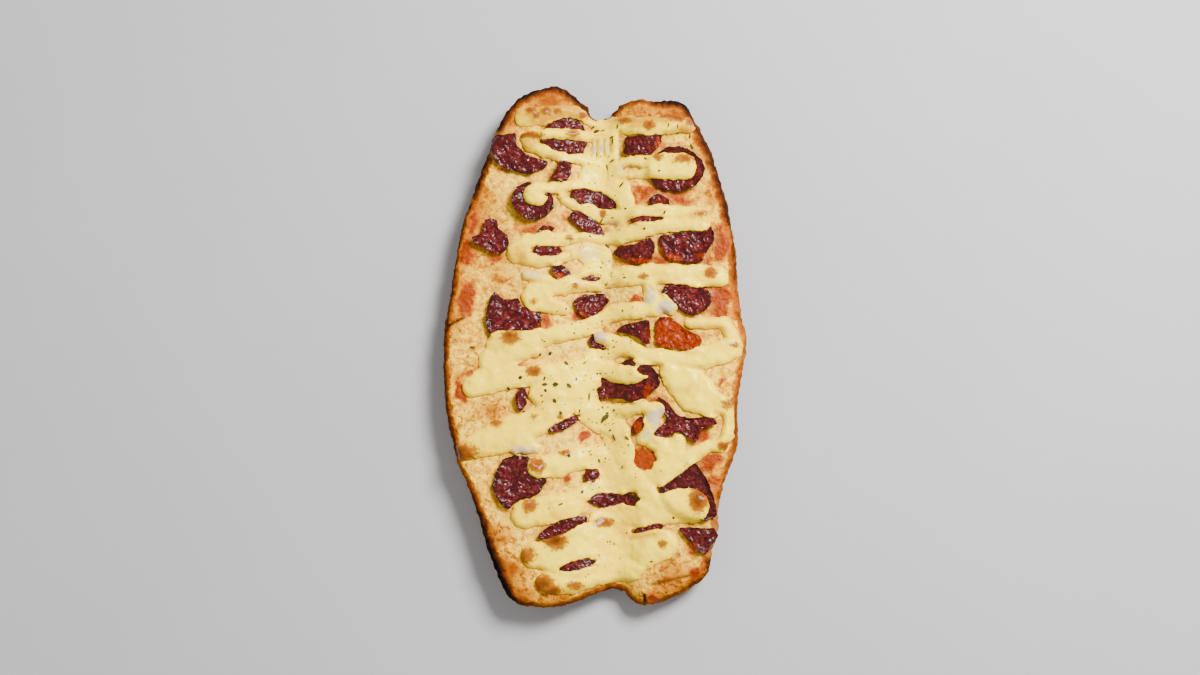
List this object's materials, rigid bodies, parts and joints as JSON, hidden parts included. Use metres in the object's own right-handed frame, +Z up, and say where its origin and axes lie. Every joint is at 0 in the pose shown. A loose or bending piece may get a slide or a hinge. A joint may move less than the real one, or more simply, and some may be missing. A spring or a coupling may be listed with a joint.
{
  "type": "pepperoni sandwich",
  "caption": "Open-faced baked sandwich: a long roll split and laid flat, topped with curled pepperoni and melted cheese.",
  "frame": {"origin": "centre of the bounding box at the underside, where the roll rests", "axes": "+Z up, out of the topped face; +Y along the roll, towards the end with the wider notch; +X across it"},
  "size_m": [0.1564, 0.2695, 0.026],
  "materials": {
    "toasted_bread": "matt toasted crumb and browned crust",
    "melted_cheese": "soft, slightly oily melted cheese with browned blisters",
    "baked_pepperoni": "oily cured sausage with blackened rims"
  },
  "bodies": {
    "root": {"bread": "toasted_bread", "melted_cheese": "melted_cheese", "pepperoni_hinge_drop": "baked_pepperoni", "pepperoni_hinge_slice": "baked_pepperoni", "pepperoni_hinge_smile": "baked_pepperoni", "pepperoni_left_crumpled": "baked_pepperoni", "pepperoni_left_folded": "baked_pepperoni", "pepperoni_left_scrap": "baked_pepperoni", "pepperoni_left_slit": "baked_pepperoni", "pepperoni_left_spiked": "baked_pepperoni", "pepperoni_left_thin": "baked_pepperoni", "pepperoni_left_tip": "baked_pepperoni", "pepperoni_lower_hinge_scrap": "baked_pepperoni", "pepperoni_lower_hinge_slice": "baked_pepperoni", "pepperoni_lower_left_round": "baked_pepperoni", "pepperoni_lower_left_strip": "baked_pepperoni", "pepperoni_lower_right_corner": "baked_pepperoni", "pepperoni_lower_right_cup": "baked_pepperoni", "pepperoni_lower_right_thin": "baked_pepperoni", "pepperoni_lowest_slit": "baked_pepperoni", "pepperoni_middle_cup": "baked_pepperoni", "pepperoni_middle_dark": "baked_pepperoni", "pepperoni_middle_sauced": "baked_pepperoni", "pepperoni_middle_scrap": "baked_pepperoni", "pepperoni_right_forked": "baked_pepperoni", "pepperoni_right_glossy": "baked_pepperoni", "pepperoni_right_large": "baked_pepperoni", "pepperoni_right_long": "baked_pepperoni", "pepperoni_right_slit": "baked_pepperoni", "pepperoni_upper_hinge_cup": "baked_pepperoni", "pepperoni_upper_hinge_fold": "baked_pepperoni", "pepperoni_upper_left_cup": "baked_pepperoni", "pepperoni_upper_left_dark": "baked_pepperoni", "pepperoni_upper_left_long": "baked_pepperoni", "pepperoni_upper_left_under": "baked_pepperoni", "pepperoni_upper_right_block": "baked_pepperoni", "pepperoni_upper_right_cup": "baked_pepperoni", "pepperoni_upper_right_sauced": "baked_pepperoni"}
  },
  "joints": []
}
